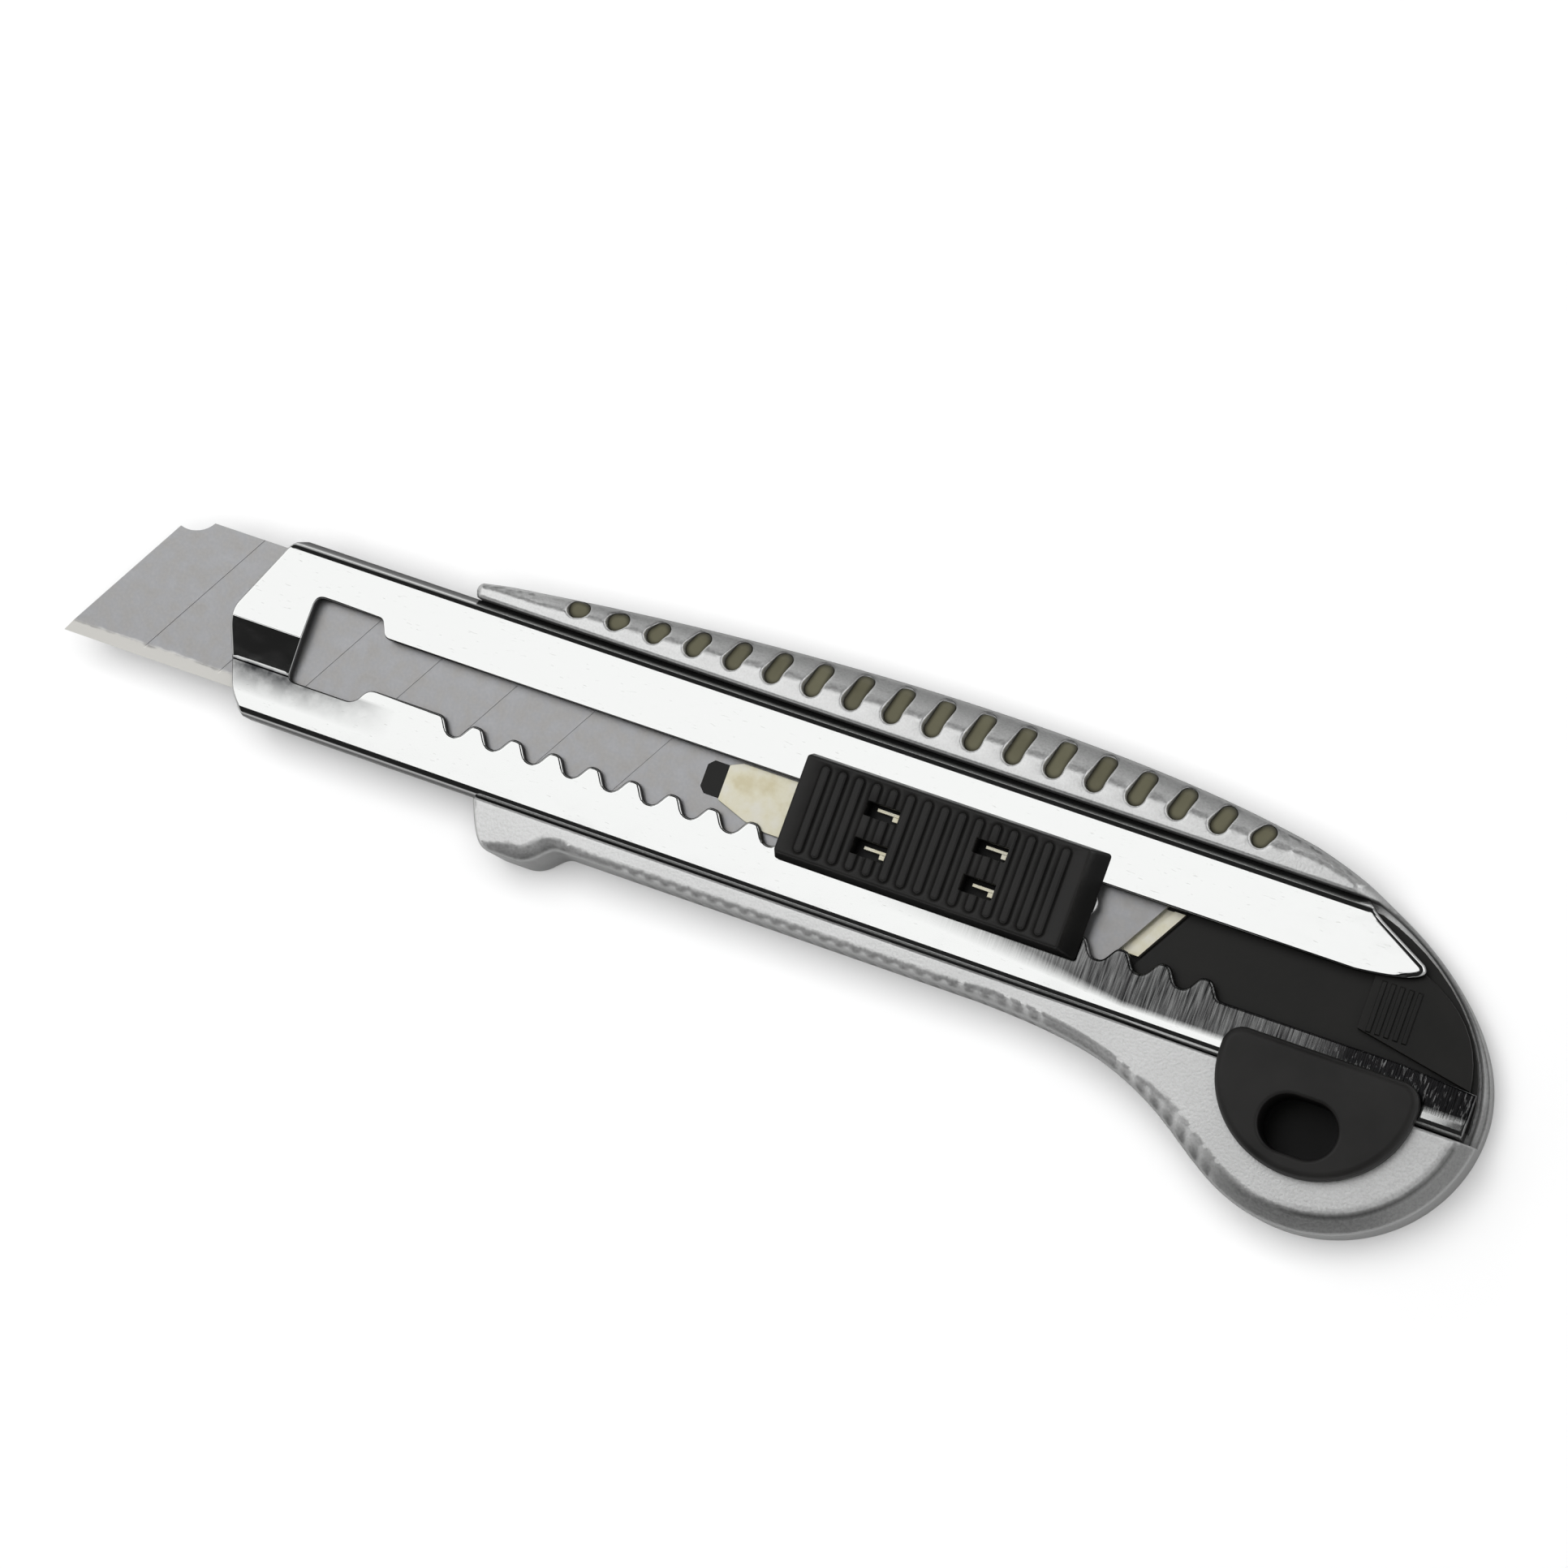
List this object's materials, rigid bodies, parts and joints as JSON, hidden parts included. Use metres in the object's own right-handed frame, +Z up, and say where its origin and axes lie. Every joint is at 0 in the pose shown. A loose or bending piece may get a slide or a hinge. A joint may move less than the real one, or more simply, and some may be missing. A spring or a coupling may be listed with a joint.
{
  "type": "snap-off utility knife",
  "caption": "Auto-loading 18 mm snap-off knife with a cast handle, steel channel, ribbed auto-lock slider and slide-out blade magazine.",
  "frame": {"origin": "centre of the knife's outline, on the flat back face it rests on, blade part extended", "axes": "+X along the knife towards the rear end (the blade points to -X), +Y towards the dimpled back of the handle (the cutting edge faces -Y), +Z up out of the slider side"},
  "size_m": [0.18, 0.045, 0.013],
  "materials": {
    "silver_paint": "silver metallic paint, fine grain",
    "olive_inlay": "soft, matte, olive grey",
    "channel_chrome": "bright nickel-chrome plate, brushed across the toothed rail",
    "fastener_steel": "bright zinc",
    "black_plastic": "moulded, satin",
    "zinc_plate": "yellow zinc plate, satin",
    "spring_steel": "bright spring steel",
    "blade_steel": "hardened carbon steel, oil-mottled, ground edge",
    "tray_plastic": "moulded, semi-matte"
  },
  "bodies": {
    "handle": {"body_casting": "silver_paint", "grip_inlays": "olive_inlay", "blade_channel": "channel_chrome", "channel_rivets": "fastener_steel", "end_plug": "black_plastic", "plug_screw": "fastener_steel"},
    "slider": {"slider_knob": "black_plastic", "blade_carrier": "zinc_plate", "blade_catch": "black_plastic", "working_blade": "blade_steel"},
    "lock": {"lock_spring": "spring_steel"},
    "magazine": {"magazine_tray": "tray_plastic", "magazine_pad": "tray_plastic", "magazine_spring": "zinc_plate"},
    "spares": {"spare_blade_upper": "blade_steel", "spare_blade_lower": "blade_steel"}
  },
  "joints": [
    {"name": "blade_slide", "type": "slide", "parent": "handle", "child": "slider", "axis": [1, 0, 0], "range_m": [-0.03556, 0.0254]},
    {"name": "lock_lift", "type": "hinge", "parent": "slider", "child": "lock", "pos_m": [0.0393, 0.00475, 0.0088], "axis": [0, 0, -1], "range_deg": [0, 8], "stiffness_Nm_per_rad": 0.02, "springref_deg": -8.59},
    {"name": "magazine_slide", "type": "slide", "parent": "handle", "child": "magazine", "axis": [1, 0, 0], "range_m": [0, 0.11]},
    {"name": "spare_press", "type": "slide", "parent": "magazine", "child": "spares", "axis": [0, 0, 1], "range_m": [-0.0003, 0], "stiffness_N_per_m": 1500, "springref_m": 0.0005, "deforming": ["magazine_spring"]}
  ]
}
